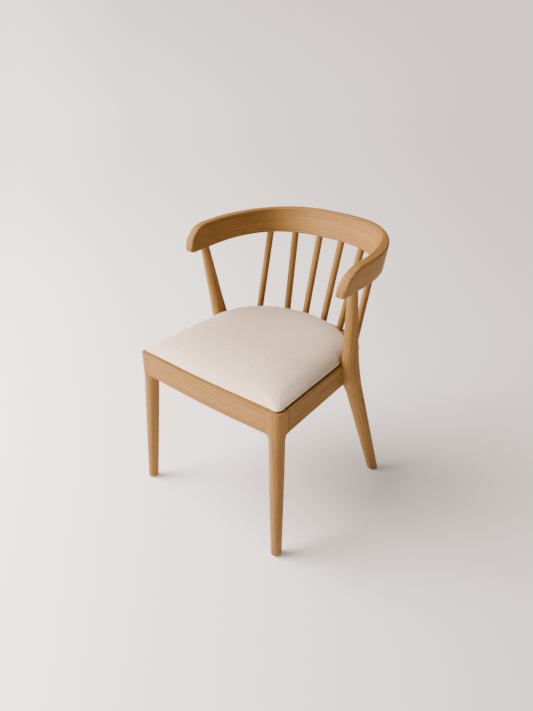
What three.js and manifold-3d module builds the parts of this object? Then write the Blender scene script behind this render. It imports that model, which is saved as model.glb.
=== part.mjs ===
// A wooden armchair: a bow of arm, back and arm on six spindles and two bent rear legs, over an
// upholstered seat. Millimetres, +Z up, the front faces -Y, and the floor under the middle of the
// chair's footprint is the origin. Every piece is drawn for the right side (+X) and mirrored.
import * as THREE from "three";
import { mergeVertices } from "three/addons/utils/BufferGeometryUtils.js";
import Module from "manifold-3d";

const wasm = await Module();
wasm.setup();

// ---------------------------------------------------------------- driving dimensions
const GAP = 0.3; // between any two pieces that touch
const GLIDE_HEIGHT = 3; // the feet stand on glides
const SEAT = { top: 440, railHeight: 65 }; // the seat frame's upper face, and the rails' height
const RAIL_BOTTOM = SEAT.top - SEAT.railHeight;

const FRONT_LEG = {
  footX: 247, footY: -290.1, footRadius: 14.6, // on the floor
  blockX: 228.5, blockY: -269, blockHalf: 20.5, // the square block between the rails
  radius: 20.4, // under the block
  fillet: 28, // height of the curve from the leg out to the rails
};
const REAR_LEG = {
  foot: [257, 181.5], knee: [238, 30], kneeZ: 415, kneeHalf: 50, // the bend, over 2 x kneeHalf
  top: [254.6, -13], // where the post meets the arm
  stations: [0, 80, 225, 360, 415, 460, 510, 580, 637, 680], // heights of the radii below
  radii: [16, 18, 21.2, 24.2, 25.2, 23, 19.9, 16.9, 14.3, 12.4],
};
const FRONT_RAIL = { y: -289.5, bow: 6.5, thick: 24 }; // outer face at its ends, and how far it bows
const SIDE_RAIL = { frontX: 249, frontY: -248.5, rearX: 229, rearY: 9.5, thick: 22 }; // outer face
const REAR_RAIL = { halfWidth: 212, centreY: 30, depth: 160.5, power: 2.7, thick: 24 };

const BOW = {
  halfWidth: 254.6, centreY: 6.3, depth: 252.2, power: 2.417, // plan of its middle line
  tipY: -76.7, // the arms' ends
  baseZ: 672.2, baseY: 57, rise: 0.0399, // the underside climbs towards the back
  height: 68.5, sectionPower: 4.5,
  backLean: 29.8, armLean: 7.2, // degrees the section leans outwards
  backThick: 20.5, cornerThick: 31, armThick: 28,
  nose: 74, noseFloor: 12, noseRound: 12, // length of the falling nose, and its rounding
  joint: 0.73, // share of the half length where crest and arm meet
};
const SPINDLE = {
  radius: 10.5, topX: [38.8, 117.7, 183.8], footX: [34, 99, 178],
  footTenon: { radius: 6, length: 22 }, topTenon: { radius: 4.5, length: 12 },
};
const POST_TENON = { radius: 8, length: 28 };
const LOOSE_TENON = { thick: 8, width: 20, length: 36, heights: [22, 46] };

const PAD = {
  frontX: 243, frontY: -281.5, bow: 5, corner: 18, // the front edge and its rounded corners
  sideX: 222, sideY: 2, // where the straight sides end, in front of the rear legs
  rearX: 213, rearY: 30, backY: 180.5, // where the rear arc starts, inside the legs, and its middle
  middleY: -37.5, // point that the rings shrink towards
  rings: [ // share of the outline, height: from the board's edge over the roll to the crown
    [0.968, 440.6], [0.986, 443], [0.997, 448.5], [1, 453], [0.994, 461], [0.975, 468.5],
    [0.93, 475], [0.8, 480.5], [0.5, 484.3], [0.2, 485.6],
  ],
  fabric: 2, fabricShare: 0.01, // thickness of cover and wadding, and the same as a share
};
const BOARD = { bottom: 440.4, thick: 12, share: 0.945 };
const DUST_COVER = { bottom: 439.3, thick: 0.7, share: 0.87 };
const BLOCK = { bottom: 398, top: 438.8, screwZ: 418 };
const SCREW = { shank: 2.1, head: 4.2, headHeight: 3, pilot: 8 };
const GLIDE = { radius: 9, nailRadius: 1.2, nail: 16 };

// ---------------------------------------------------------------- materials
const material = (color, roughness, metalness = 0) =>
  new THREE.MeshStandardMaterial({ color, roughness, metalness });
const OAK = material(0xc49a6c, 0.55);
const BEECH = material(0xcfae82, 0.6);
const PLY = material(0xd1b48c, 0.7);
const FABRIC = material(0xd9d0c5, 0.95);
const FOAM = material(0xe6dfc4, 0.9);
const BLACK_CLOTH = material(0x1e1e1e, 0.95);
const STEEL = material(0x9a9a98, 0.35, 1);
const PLASTIC = material(0x3a3531, 0.6);

// ---------------------------------------------------------------- solids
const { lerp, smoothstep, degToRad } = THREE.MathUtils;
const vec = (x, y, z) => new THREE.Vector3(x, y, z);

// A closed geometry as a solid for cutting and joining.
function solid(geometry) {
  const bare = geometry.clone();
  bare.deleteAttribute("normal");
  bare.deleteAttribute("uv");
  const merged = mergeVertices(bare, 1e-4);
  return new wasm.Manifold(
    new wasm.Mesh({
      numProp: 3,
      vertProperties: merged.attributes.position.array,
      triVerts: new Uint32Array(merged.index.array),
    }),
  );
}

function geometryOf(made) {
  const mesh = made.getMesh();
  const geometry = new THREE.BufferGeometry();
  geometry.setAttribute("position", new THREE.BufferAttribute(mesh.vertProperties, 3));
  geometry.setIndex(new THREE.BufferAttribute(mesh.triVerts, 1));
  geometry.computeVertexNormals();
  return geometry;
}

const without = (body, cutters) => cutters.reduce((left, cutter) => left.subtract(cutter), body);
const joined = (body, additions) => additions.reduce((sum, piece) => sum.add(piece), body);

// A skin over rings of equal count, each ring running counter-clockwise about the way they advance.
function loft(rings) {
  const count = rings[0].length;
  const points = rings.flat();
  const index = [];
  for (let i = 0; i + 1 < rings.length; i++)
    for (let k = 0; k < count; k++) {
      const next = (k + 1) % count;
      const [a, b, c, d] = [i * count + k, i * count + next, (i + 1) * count + next, (i + 1) * count + k];
      index.push(a, b, c, a, c, d);
    }
  for (const [ring, flip] of [[0, true], [rings.length - 1, false]]) {
    const middle = points.length;
    points.push(rings[ring].reduce((sum, p) => sum.add(p), vec(0, 0, 0)).divideScalar(count));
    for (let k = 0; k < count; k++) {
      const pair = [ring * count + k, ring * count + ((k + 1) % count)];
      index.push(middle, ...(flip ? pair.reverse() : pair));
    }
  }
  return solid(new THREE.BufferGeometry().setFromPoints(points).setIndex(index));
}

// A plan outline, as a THREE.Shape or a list of [x, y], raised from one height to another.
function prism(outline, bottom, top) {
  const shape = Array.isArray(outline)
    ? new THREE.Shape(outline.map(([x, y]) => new THREE.Vector2(x, y)))
    : outline;
  const settings = { depth: top - bottom, bevelEnabled: false, curveSegments: 24 };
  const geometry = new THREE.ExtrudeGeometry(shape, settings);
  return solid(geometry.translate(0, 0, bottom));
}

// A lathe-turned solid of [radius, distance] points, set along the line from start towards end.
function turned(profile, start, end, sides = 14) {
  const points = profile.map(([radius, along]) => new THREE.Vector2(radius, along));
  const geometry = new THREE.LatheGeometry(points, sides);
  const turn = new THREE.Quaternion().setFromUnitVectors(vec(0, 1, 0), end.clone().sub(start).normalize());
  return solid(geometry.applyQuaternion(turn).translate(start.x, start.y, start.z));
}

const rod = (radius, start, end, sides = 14) => {
  const length = start.distanceTo(end);
  return turned([[0, 0], [radius, 0], [radius, length], [0, length]], start, end, sides);
};

// A box lengthened along a direction in plan: its middle, its full sizes, and the direction's angle.
function plank(middle, length, thick, height, angle) {
  const geometry = new THREE.BoxGeometry(length, thick, height).rotateZ(angle);
  return solid(geometry.translate(middle.x, middle.y, middle.z));
}

const mirrored = (body) => body.mirror([1, 0, 0]);

// ---------------------------------------------------------------- legs
const LEG_SIDES = 24;
// Radius of a unit square with rounded corners, softer the lower its power.
const squareRadius = (angle, power) =>
  (Math.abs(Math.cos(angle)) ** power + Math.abs(Math.sin(angle)) ** power) ** (-1 / power);

function ringAt(x, y, z, radiusAt, sides = LEG_SIDES) {
  return Array.from({ length: sides }, (_, k) => {
    const angle = (2 * Math.PI * k) / sides;
    const radius = radiusAt(angle);
    return vec(x + radius * Math.cos(angle), y + radius * Math.sin(angle), z);
  });
}

// The block's corner at the front right is round, the others are nearly sharp.
function blockRadius(angle) {
  const outerCorner = Math.cos(angle) > 0 && Math.sin(angle) < 0;
  return FRONT_LEG.blockHalf * squareRadius(angle, outerCorner ? 2.5 : 20);
}

function frontLegAxis(z) {
  const t = Math.min(z / RAIL_BOTTOM, 1);
  return [lerp(FRONT_LEG.footX, FRONT_LEG.blockX, t), lerp(FRONT_LEG.footY, FRONT_LEG.blockY, t)];
}

function frontLegBody(grow = 0) {
  const { footRadius, radius, fillet } = FRONT_LEG;
  const footEdge = 4;
  const heights = [GLIDE_HEIGHT, 4.5, GLIDE_HEIGHT + footEdge, 60, 180, 300];
  for (const share of [1, 0.7, 0.45, 0.25, 0.1, 0.02]) heights.push(RAIL_BOTTOM - fillet * share);
  heights.push(RAIL_BOTTOM, SEAT.top - 3, SEAT.top - 1, SEAT.top);
  const rings = heights.map((z) => {
    const [x, y] = frontLegAxis(z);
    const climb = Math.min(z / (RAIL_BOTTOM - fillet), 1);
    const round = lerp(footRadius, radius, (climb + Math.sin((climb * Math.PI) / 2)) / 2); // a little full
    const down = Math.min(Math.max((RAIL_BOTTOM - z) / fillet, 0), 1);
    const blockShare = 1 - Math.sqrt(1 - (1 - down) ** 2);
    const footTrim = Math.max(GLIDE_HEIGHT + footEdge - z, 0) * 0.8;
    const trim = footTrim + Math.max(z - SEAT.top + 3, 0);
    return ringAt(x, y, z, (angle) => lerp(round, blockRadius(angle), blockShare) - trim + grow);
  });
  return loft(rings);
}

// Straight from the foot, bent at the knee beside the seat, straight on to the arm.
function rearLegAxis(z) {
  const { foot, knee, kneeZ, kneeHalf, top } = REAR_LEG;
  const lower = (h) => [0, 1].map((i) => lerp(foot[i], knee[i], h / kneeZ));
  const upper = (h) => [0, 1].map((i) => lerp(knee[i], top[i], (h - kneeZ) / (BOW.baseZ - kneeZ)));
  if (z <= kneeZ - kneeHalf) return lower(z);
  if (z >= kneeZ + kneeHalf) return upper(z);
  const t = (z - kneeZ + kneeHalf) / (2 * kneeHalf);
  const [start, end] = [lower(kneeZ - kneeHalf), upper(kneeZ + kneeHalf)];
  return [0, 1].map((i) => (1 - t) ** 2 * start[i] + 2 * t * (1 - t) * knee[i] + t * t * end[i]);
}

const rearRadii = new THREE.CubicInterpolant(REAR_LEG.stations, REAR_LEG.radii, 1, [0]);

function rearLegBody(grow = 0) {
  const footEdge = 4;
  const heights = [GLIDE_HEIGHT, 4.5, GLIDE_HEIGHT + footEdge, 60, 120, 200, 280, 320, 345, 360, 375];
  heights.push(390, 405, 420, 435, 450, 465, 490, 520, 560, 600, 640, postTop());
  const rings = heights.map((z) => {
    const [x, y] = rearLegAxis(z);
    const radius = rearRadii.evaluate(z)[0];
    // Beside the seat the inner half is squarer, which gives the rails flat ground to meet.
    const square = smoothstep(z, 335, 385) * (1 - smoothstep(z, 425, 450));
    const trim = Math.max(GLIDE_HEIGHT + footEdge - z, 0) * 0.8;
    return ringAt(x, y, z, (angle) => {
      const inner = Math.cos(angle) < 0 ? squareRadius(angle, 5) : 1;
      return radius * lerp(1, inner, square) - trim + grow;
    });
  });
  return loft(rings);
}

function postTop() {
  return undersideAt(REAR_LEG.top[1]) - 0.8;
}

// ---------------------------------------------------------------- rails
function frontRailBody(grow = 0) {
  const { y, bow, thick } = FRONT_RAIL;
  const end = FRONT_LEG.blockX;
  const edge = (offset, sign) =>
    Array.from({ length: 13 }, (_, i) => {
      const x = sign * lerp(-end, end, i / 12);
      return [x, y + offset - bow * (1 - (x / end) ** 2)];
    });
  return prism([...edge(-grow, 1), ...edge(thick + grow, -1)], RAIL_BOTTOM - grow, SEAT.top + grow);
}

const sideAngle = Math.atan2(SIDE_RAIL.rearY - SIDE_RAIL.frontY, SIDE_RAIL.rearX - SIDE_RAIL.frontX);
const sideOuterX = (y) =>
  lerp(SIDE_RAIL.frontX, SIDE_RAIL.rearX, (y - SIDE_RAIL.frontY) / (SIDE_RAIL.rearY - SIDE_RAIL.frontY));

function sideRailBody(grow = 0) {
  const [front, rear] = [FRONT_LEG.blockY, REAR_LEG.knee[1] - GAP];
  const { thick } = SIDE_RAIL;
  const outline = [
    [sideOuterX(front) + grow, front], [sideOuterX(rear) + grow, rear],
    [sideOuterX(rear) - thick - grow, rear], [sideOuterX(front) - thick - grow, front],
  ];
  return prism(outline, RAIL_BOTTOM - grow, SEAT.top + grow);
}

// Half-egg curves in plan: x and y of a point at an angle from the back's middle.
const eggPoint = ({ halfWidth, centreY, depth, power }, angle) => [
  Math.sign(angle) * halfWidth * Math.abs(Math.sin(angle)) ** (2 / power),
  centreY + depth * Math.abs(Math.cos(angle)) ** (2 / power),
];

function rearRailBody(grow = 0) {
  const steps = 40;
  const middle = Array.from({ length: steps + 1 }, (_, i) =>
    eggPoint(REAR_RAIL, lerp(-1, 1, i / steps) * (Math.PI / 2)),
  );
  const edge = (offset) =>
    middle.map(([x, y], i) => {
      const [before, after] = [middle[Math.max(i - 1, 0)], middle[Math.min(i + 1, steps)]];
      const atEnd = i === 0 || i === steps;
      const [dx, dy] = atEnd ? [0, i ? -1 : 1] : [after[0] - before[0], after[1] - before[1]];
      const length = Math.hypot(dx, dy);
      return [x - (dy / length) * offset, y + (dx / length) * offset];
    });
  const half = REAR_RAIL.thick / 2 + grow;
  return prism([...edge(half), ...edge(-half).reverse()], RAIL_BOTTOM - grow, SEAT.top + grow);
}

// The three tenons on the right side, each with its middle in plan and the angle it points at.
const TENONS = {
  front: { at: [212.5, FRONT_RAIL.y + 12], angle: 0, length: 35, thick: 10 },
  sideFront: { at: [sideOuterX(-253.5) - 12, -253.5], angle: sideAngle, length: 32, thick: 10 },
  sideRear: { at: [sideOuterX(11.5) - 4.5, 11.5], angle: sideAngle, length: 30, thick: 8 },
  rear: { at: [REAR_RAIL.halfWidth + 7, 46.5], angle: Math.PI / 2, length: 26, thick: 7 },
};
const TENON_HEIGHT = 45;

function tenonBody({ at: [x, y], angle, length, thick }, grow = 0) {
  const middle = vec(x, y, RAIL_BOTTOM + SEAT.railHeight / 2);
  return plank(middle, length + 2 * grow, thick + 2 * grow, TENON_HEIGHT + 2 * grow, angle);
}

// ---------------------------------------------------------------- bow
class BowPath extends THREE.Curve {
  getPoint(t) {
    const armShare = 0.15;
    if (t < armShare) return vec(-BOW.halfWidth, lerp(BOW.tipY, BOW.centreY, t / armShare), 0);
    if (t > 1 - armShare) return vec(BOW.halfWidth, lerp(BOW.tipY, BOW.centreY, (1 - t) / armShare), 0);
    const angle = ((t - 0.5) / (0.5 - armShare)) * (Math.PI / 2);
    const [x, y] = eggPoint(BOW, angle);
    return vec(x, y, 0);
  }
}
const bowPath = new BowPath();
bowPath.arcLengthDivisions = 1200;
const BOW_LENGTH = bowPath.getLength();

const undersideAt = (y) => BOW.baseZ + BOW.rise * (y - BOW.baseY);

// The bow at a share of its length: plan point, outward direction, underside, lean and thickness.
function bowFrame(share) {
  const at = bowPath.getPointAt(share);
  const along = bowPath.getTangentAt(share);
  const arm = Math.abs(share - 0.5) * 2; // 0 at the back's middle, 1 at a tip
  const lean = degToRad(lerp(BOW.backLean, BOW.armLean, smoothstep(arm, 0.15, 0.62)));
  const thick =
    BOW.backThick +
    (BOW.cornerThick - BOW.backThick) * smoothstep(arm, 0.33, 0.62) +
    (BOW.armThick - BOW.cornerThick) * smoothstep(arm, 0.62, 1);
  const outward = vec(-along.y, along.x, 0);
  const toTip = (1 - arm) * (BOW_LENGTH / 2);
  return { at, along, outward, base: undersideAt(at.y), lean, thick, toTip };
}

const quarterRound = (t) => Math.sqrt(1 - (1 - Math.min(t, 1)) ** 2);

function bowRing(share, sides = 16) {
  const { at, outward, base, lean, thick, toTip } = bowFrame(share);
  const top = Math.max(BOW.height * quarterRound(toTip / BOW.nose), BOW.noseFloor);
  const lift = BOW.noseRound * 0.8 * (1 - quarterRound(toTip / BOW.noseRound));
  const width = thick * (0.55 + 0.45 * quarterRound(toTip / BOW.noseRound));
  const soft = (value) => Math.sign(value) * Math.abs(value) ** (2 / BOW.sectionPower);
  return Array.from({ length: sides }, (_, k) => {
    const angle = (2 * Math.PI * k) / sides;
    const up = lift + (top - lift) * (0.5 + 0.5 * soft(Math.sin(angle)));
    const out = (width / 2) * soft(Math.cos(angle)) + Math.tan(lean) * up;
    return vec(at.x + outward.x * out, at.y + outward.y * out, base + up);
  });
}

// The bow between two shares of its length. Its rings run from the left tip to the right one.
function bowBody(from, to, steps) {
  const rings = Array.from({ length: steps + 1 }, (_, i) => bowRing(lerp(from, to, i / steps)));
  return loft(rings);
}

function armBody(steps = 16) {
  // Rings crowd towards the nose, where the shape turns fastest.
  const start = 0.5 + BOW.joint / 2 + GAP / BOW_LENGTH;
  const crowded = (i) => Math.sin((i / steps) * (Math.PI / 2));
  return loft(Array.from({ length: steps + 1 }, (_, i) => bowRing(lerp(start, 1, crowded(i)))));
}

// A flat loose tenon across the joint between crest and arm.
function looseTenonBody(height, grow = 0) {
  const { at, along, outward, base, lean } = bowFrame(0.5 + BOW.joint / 2);
  const middle = at.clone().addScaledVector(outward, Math.tan(lean) * height).setZ(base + height);
  const { length, thick, width } = LOOSE_TENON;
  const size = [length, thick, width].map((side) => side + 2 * grow);
  return plank(middle, ...size, Math.atan2(along.y, along.x));
}

// ---------------------------------------------------------------- spindles and their sockets
function spindleLine(i) {
  const railAngle = Math.asin((SPINDLE.footX[i] / REAR_RAIL.halfWidth) ** (REAR_RAIL.power / 2));
  const bowAngle = Math.asin((SPINDLE.topX[i] / BOW.halfWidth) ** (BOW.power / 2));
  const [footX, footY] = eggPoint(REAR_RAIL, railAngle);
  const [topX, topY] = eggPoint(BOW, bowAngle);
  return { foot: vec(footX, footY, SEAT.top), top: vec(topX, topY, undersideAt(topY)) };
}

// The round tenon at one end of a spindle, or with growth the socket for it.
function spindleTenon(i, end, grow = 0) {
  const { foot, top } = spindleLine(i);
  const along = top.clone().sub(foot).normalize();
  const { radius, length } = end === "foot" ? SPINDLE.footTenon : SPINDLE.topTenon;
  const [inside, outwards] = end === "foot" ? [foot, along.clone().negate()] : [top, along];
  const tip = inside.clone().addScaledVector(outwards, length + grow);
  return rod(radius + grow, inside.addScaledVector(outwards, -5), tip, 12);
}

function spindleBody(i) {
  const { foot, top } = spindleLine(i);
  const along = top.clone().sub(foot).normalize();
  const [start, end] = [foot.clone().addScaledVector(along, -10), top.clone().addScaledVector(along, 10)];
  const long = rod(SPINDLE.radius, start, end, 14);
  const shoulder = 0.7; // the bow's underside slopes across the spindle's end
  const [low, high] = [SEAT.top + GAP, top.z - shoulder];
  const between = plank(vec(0, 150, (low + high) / 2), 700, 700, high - low, 0);
  return joined(long.intersect(between), [spindleTenon(i, "foot"), spindleTenon(i, "top")]);
}

function postTenon(grow = 0) {
  const [x, y] = rearLegAxis(postTop());
  const [belowX, belowY] = rearLegAxis(postTop() - 60);
  const along = vec(x - belowX, y - belowY, 60).normalize();
  const start = vec(x, y, postTop());
  const end = start.clone().addScaledVector(along, POST_TENON.length + grow);
  return rod(POST_TENON.radius + grow, start.addScaledVector(along, -10), end);
}

// ---------------------------------------------------------------- screws, blocks and glides
// Countersunk wood screws as lines from the head's face to the tip, all on the right side.
const SCREWS = {
  block_screw_front_a: [vec(165, -244.5, BLOCK.screwZ), vec(165, -284.5, BLOCK.screwZ)],
  block_screw_front_b: [vec(194, -211.5, BLOCK.screwZ), vec(238, -211.5, BLOCK.screwZ)],
  block_screw_rear_a: [vec(199, -17.5, BLOCK.screwZ), vec(227, -17.5, BLOCK.screwZ)],
  block_screw_rear_b: [vec(192, 77.5, BLOCK.screwZ), vec(218, 77.5, BLOCK.screwZ)],
  seat_screw_front: [vec(196, -235.5, BLOCK.bottom), vec(196, -235.5, 449)],
  seat_screw_rear: [vec(192, 30.5, BLOCK.bottom), vec(192, 30.5, 449)],
};

function screwBody([head, tip], grow = 0) {
  const length = head.distanceTo(tip) + grow;
  const [shank, rim] = [SCREW.shank + grow, SCREW.head + grow];
  // A grown screw is the hole for one, with the head's pocket open to the outside.
  const pocket = grow ? 14 : 0;
  const profile = [
    [0, -pocket], [rim, -pocket], ...(grow ? [[rim, 0]] : []),
    [shank, SCREW.headHeight], [shank, length - SCREW.pilot], [0.6 + grow, length - grow], [0, length],
  ];
  return turned(profile, head, tip, 10);
}

const holes = (...names) => names.map((name) => screwBody(SCREWS[name], GAP));

// Blocks that fill the frame's corners, drawn over the rails and legs and then cut back from them.
const BLOCK_PLANS = {
  front: [[240, -282.5], [228, -162.5], [125, -282.5]],
  rear: [[228, 27.5], [208, 110], [166, 27.5], [216, -57.5]],
};

function cornerBlock(end) {
  const outline = BLOCK_PLANS[end];
  const raw = prism(outline, BLOCK.bottom, BLOCK.top);
  const around = end === "front"
    ? [frontRailBody(GAP), sideRailBody(GAP), frontLegBody(GAP)]
    : [sideRailBody(GAP), rearRailBody(GAP), rearLegBody(GAP)];
  const screws = holes(`block_screw_${end}_a`, `block_screw_${end}_b`, `seat_screw_${end}`);
  return without(raw, [...around, ...screws]);
}

function glideBody([x, y], grow = 0) {
  const { radius, nailRadius, nail } = GLIDE;
  const profile = [
    [0, 0], [radius - 1 + grow, 0], [radius + grow, 1], [radius + grow, GLIDE_HEIGHT - GAP + grow],
    [nailRadius + grow, GLIDE_HEIGHT - GAP + grow], [nailRadius + grow, nail - 3], [0, nail + grow],
  ];
  return turned(profile, vec(x, y, 0), vec(x, y, 1), 20);
}

// ---------------------------------------------------------------- seat
function padShape() {
  const { frontX, frontY, bow, corner, sideX, sideY, rearX, rearY, backY } = PAD;
  const shape = new THREE.Shape();
  const cornerX = lerp(frontX, sideX, corner / (sideY - frontY)); // the side where the corner ends
  const [besideX, besideY] = [(sideX + rearX) / 2, sideY + 6]; // pulls the edge in beside the leg
  shape.moveTo(0, frontY - bow);
  shape.quadraticCurveTo(frontX * 0.5, frontY - bow, frontX - corner, frontY);
  shape.quadraticCurveTo(frontX - 1, frontY, cornerX, frontY + corner);
  shape.lineTo(sideX, sideY);
  shape.quadraticCurveTo(besideX, besideY, rearX, rearY);
  const [pull, rise] = [0.52 * rearX, 0.52 * (backY - rearY)];
  shape.bezierCurveTo(rearX - 5, rearY + rise, pull, backY, 0, backY);
  shape.bezierCurveTo(-pull, backY, -rearX + 5, rearY + rise, -rearX, rearY);
  shape.quadraticCurveTo(-besideX, besideY, -sideX, sideY);
  shape.lineTo(-cornerX, frontY + corner);
  shape.quadraticCurveTo(-frontX + 1, frontY, -frontX + corner, frontY);
  shape.quadraticCurveTo(-frontX * 0.5, frontY - bow, 0, frontY - bow);
  return shape;
}

const PAD_POINTS = padShape().getSpacedPoints(56).slice(0, -1);

const padRing = (share, z) =>
  PAD_POINTS.map((p) => vec(p.x * share, PAD.middleY + (p.y - PAD.middleY) * share, z));

// The pad's outer form, drawn in by a thickness, from a height upwards.
function padBody(thick, share, bottom) {
  const rings = PAD.rings.map(([s, z]) => [s - share, z - thick]).filter(([, z]) => z > bottom + 1);
  return loft([[rings[0][0], bottom], ...rings].map(([s, z]) => padRing(s, z)));
}

const padPlate = (share, bottom, thick) => loft([padRing(share, bottom), padRing(share, bottom + thick)]);

// ---------------------------------------------------------------- assembly
const chair = new THREE.Group();

function place(parent, name, body, look) {
  const mesh = new THREE.Mesh(geometryOf(body), look);
  mesh.name = name;
  parent.add(mesh);
}

function group(name) {
  const made = new THREE.Group();
  made.name = name;
  chair.add(made);
  return made;
}

// The same piece on both sides, drawn for the right.
function placePair(parent, name, body, look) {
  place(parent, `${name}_right`, body, look);
  place(parent, `${name}_left`, mirrored(body), look);
}

function addLegs() {
  const legs = group("legs");
  const glides = { front: [FRONT_LEG.footX, FRONT_LEG.footY], rear: REAR_LEG.foot };
  const mortises = (...names) => names.map((name) => tenonBody(TENONS[name], GAP));
  const front = without(frontLegBody(), [...mortises("front", "sideFront"), glideBody(glides.front, GAP)]);
  const rear = without(rearLegBody(), [...mortises("sideRear", "rear"), glideBody(glides.rear, GAP)]);
  placePair(legs, "front_leg", front, OAK);
  placePair(legs, "rear_leg", rear.add(postTenon()), OAK);
  for (const end of ["front", "rear"]) placePair(legs, `glide_${end}`, glideBody(glides[end]), PLASTIC);
}

function addSeatFrame() {
  const frame = group("seat_frame");
  const both = (body) => [body, mirrored(body)];
  const frontLegs = both(frontLegBody(GAP));
  const front = without(frontRailBody(), [...frontLegs, ...holes("block_screw_front_a").flatMap(both)]);
  place(frame, "front_rail", joined(front, both(tenonBody(TENONS.front))), OAK);

  const sideHoles = holes("block_screw_front_b", "block_screw_rear_a");
  const side = without(sideRailBody(), [frontLegs[0], rearLegBody(GAP), ...sideHoles]);
  const sideTenons = [tenonBody(TENONS.sideFront), tenonBody(TENONS.sideRear)];
  placePair(frame, "side_rail", joined(side, sideTenons), OAK);

  const sockets = SPINDLE.footX.flatMap((_, i) => both(spindleTenon(i, "foot", GAP)));
  const rearHoles = holes("block_screw_rear_b").flatMap(both);
  const rear = without(rearRailBody(), [...both(rearLegBody(GAP)), ...rearHoles]);
  place(frame, "rear_rail", without(joined(rear, both(tenonBody(TENONS.rear))), sockets), OAK);

  for (const end of ["front", "rear"]) placePair(frame, `corner_block_${end}`, cornerBlock(end), BEECH);
  for (const [name, line] of Object.entries(SCREWS)) placePair(frame, name, screwBody(line), STEEL);
}

function addBow() {
  const bow = group("bow");
  const sockets = SPINDLE.topX.map((_, i) => spindleTenon(i, "top", GAP));
  const slots = LOOSE_TENON.heights.map((height) => looseTenonBody(height, GAP));
  const crest = bowBody(0.5 - BOW.joint / 2, 0.5 + BOW.joint / 2, 40);
  place(bow, "crest", without(crest, [...sockets, ...slots].flatMap((cut) => [cut, mirrored(cut)])), OAK);
  placePair(bow, "arm", without(armBody(), [...slots, postTenon(GAP)]), OAK);
  LOOSE_TENON.heights.forEach((height, i) =>
    placePair(bow, `loose_tenon_${i ? "upper" : "lower"}`, looseTenonBody(height), BEECH),
  );
  ["inner", "middle", "outer"].forEach((where, i) =>
    placePair(bow, `spindle_${where}`, spindleBody(i), OAK),
  );
}

function addSeat() {
  const seat = group("seat");
  const screws = holes("seat_screw_front", "seat_screw_rear").flatMap((hole) => [hole, mirrored(hole)]);
  const boardTop = BOARD.bottom + BOARD.thick;
  const cavity = padBody(PAD.fabric, PAD.fabricShare, SEAT.top - 5);
  place(seat, "seat_cover", without(padBody(0, 0, PAD.rings[0][1]), [cavity]), FABRIC);
  place(seat, "seat_foam", padBody(PAD.fabric + GAP, PAD.fabricShare + 0.002, boardTop + GAP), FOAM);
  place(seat, "seat_board", without(padPlate(BOARD.share, BOARD.bottom, BOARD.thick), screws), PLY);
  const sheet = padPlate(DUST_COVER.share, DUST_COVER.bottom, DUST_COVER.thick);
  place(seat, "dust_cover", without(sheet, screws), BLACK_CLOTH);
}

addLegs();
addSeatFrame();
addBow();
addSeat();

export default chair;
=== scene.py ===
from math import cos, hypot, pi, radians, sin, sqrt, tan

import bmesh
import bpy
import numpy as np
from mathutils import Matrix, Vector


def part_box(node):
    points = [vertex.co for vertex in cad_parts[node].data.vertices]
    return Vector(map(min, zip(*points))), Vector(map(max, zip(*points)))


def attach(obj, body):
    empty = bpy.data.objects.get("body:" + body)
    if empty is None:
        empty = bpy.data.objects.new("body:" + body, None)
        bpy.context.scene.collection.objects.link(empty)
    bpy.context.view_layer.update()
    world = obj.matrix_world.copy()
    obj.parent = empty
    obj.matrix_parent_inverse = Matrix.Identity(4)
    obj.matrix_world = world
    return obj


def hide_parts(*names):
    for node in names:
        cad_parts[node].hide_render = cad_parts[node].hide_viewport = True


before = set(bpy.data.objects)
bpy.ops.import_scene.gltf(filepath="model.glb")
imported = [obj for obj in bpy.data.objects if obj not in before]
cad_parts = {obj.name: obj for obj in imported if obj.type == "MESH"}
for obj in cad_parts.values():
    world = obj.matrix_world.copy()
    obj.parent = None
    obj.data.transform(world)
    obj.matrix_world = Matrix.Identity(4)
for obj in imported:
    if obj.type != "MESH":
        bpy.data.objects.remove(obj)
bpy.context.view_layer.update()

# ---------------------------------------------------------------- places taken from the CAD
def middle(node):
    low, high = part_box(node)
    return (Vector(low) + Vector(high)) / 2


GLIDE_TOP = 0.003
RAIL_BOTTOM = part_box("front_rail")[0][2]
SEAT_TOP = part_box("front_rail")[1][2]
FRONT_FOOT = middle("glide_front_right")
REAR_FOOT = middle("glide_rear_right")
ARM_TIP_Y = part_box("arm_right")[0][1]
SPINDLE_NAMES = ["inner", "middle", "outer"]

# ---------------------------------------------------------------- the chair's own dimensions
FRONT_LEG = {
    "foot_radius": 0.0146, "block": (0.2285, -0.2690), "half": 0.0205,
    "radius": 0.0204, "fillet": 0.028, "foot_edge": 0.004,
}
REAR_LEG = {
    "knee": (0.238, 0.030), "knee_z": 0.415, "knee_half": 0.050, "top": (0.2546, -0.013),
    "heights": [0, 0.080, 0.225, 0.360, 0.415, 0.460, 0.510, 0.580, 0.637, 0.680],
    "radii": [0.0160, 0.0180, 0.0212, 0.0242, 0.0252, 0.0230, 0.0199, 0.0169, 0.0143, 0.0124],
}
FRONT_RAIL = {"y": -0.2895, "bow": 0.0065, "thick": 0.024}
SIDE_RAIL = {"front": (0.249, -0.2485), "rear": (0.229, 0.0095), "thick": 0.022}
REAR_RAIL = {"half": 0.212, "centre": 0.030, "depth": 0.1605, "power": 2.7, "thick": 0.024}
RAIL_EDGE = 0.0032
BOW = {
    "half": 0.2546, "centre": 0.0063, "depth": 0.2522, "power": 2.417,
    "base_z": 0.6722, "base_y": 0.057, "rise": 0.0399, "height": 0.0685,
    "back_lean": radians(29.8), "arm_lean": radians(7.2),
    "back_thick": 0.0205, "corner_thick": 0.031, "arm_thick": 0.028,
    "top_edge": 0.0075, "bottom_edge": 0.0055,
    "nose": 0.074, "nose_floor": 0.012, "nose_round": 0.012, "joint": 0.73, "joint_gap": 0.00012,
}
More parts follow.
